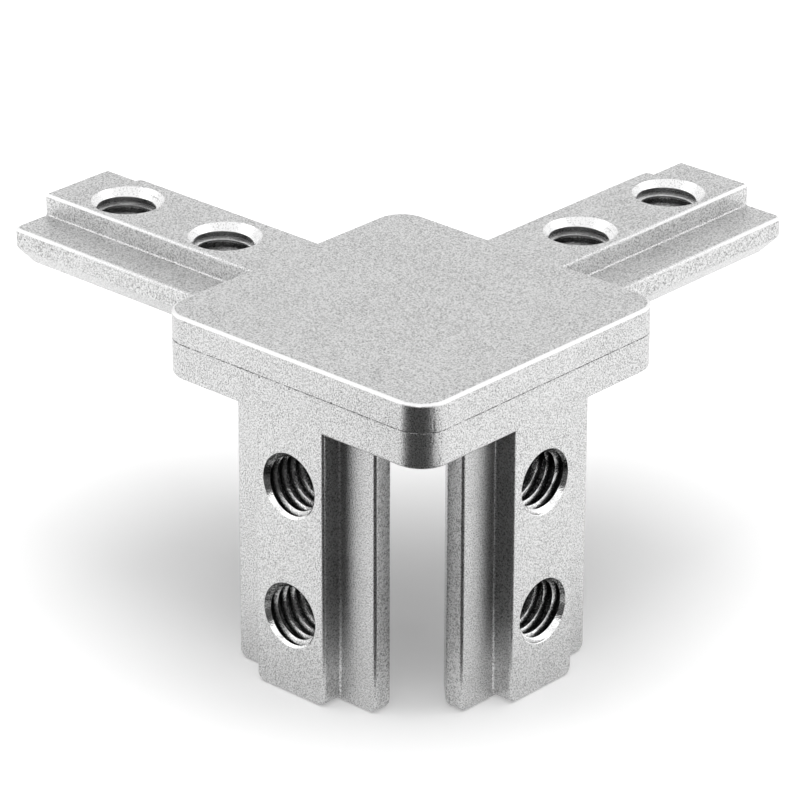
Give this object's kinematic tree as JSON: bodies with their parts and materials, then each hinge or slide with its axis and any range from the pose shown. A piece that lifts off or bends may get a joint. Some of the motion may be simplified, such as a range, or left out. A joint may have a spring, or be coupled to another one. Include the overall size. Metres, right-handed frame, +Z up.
{
  "type": "three way corner connector",
  "caption": "Square cap with level arms and hanging legs of T section that slide into slotted profiles, with tapped holes for set screws.",
  "frame": {"origin": "middle of the cap's underside, where the upright profile's end butts", "axes": "+Z up out of the cap's top; the arms run along +X and +Y; the legs hang down from the -X and -Y sides"},
  "size_m": [0.0553, 0.0553, 0.031],
  "materials": {
    "cast_metal": "sandblasted, with bright tapped holes"
  },
  "bodies": {
    "root": {"corner_connector": "cast_metal"}
  },
  "joints": []
}
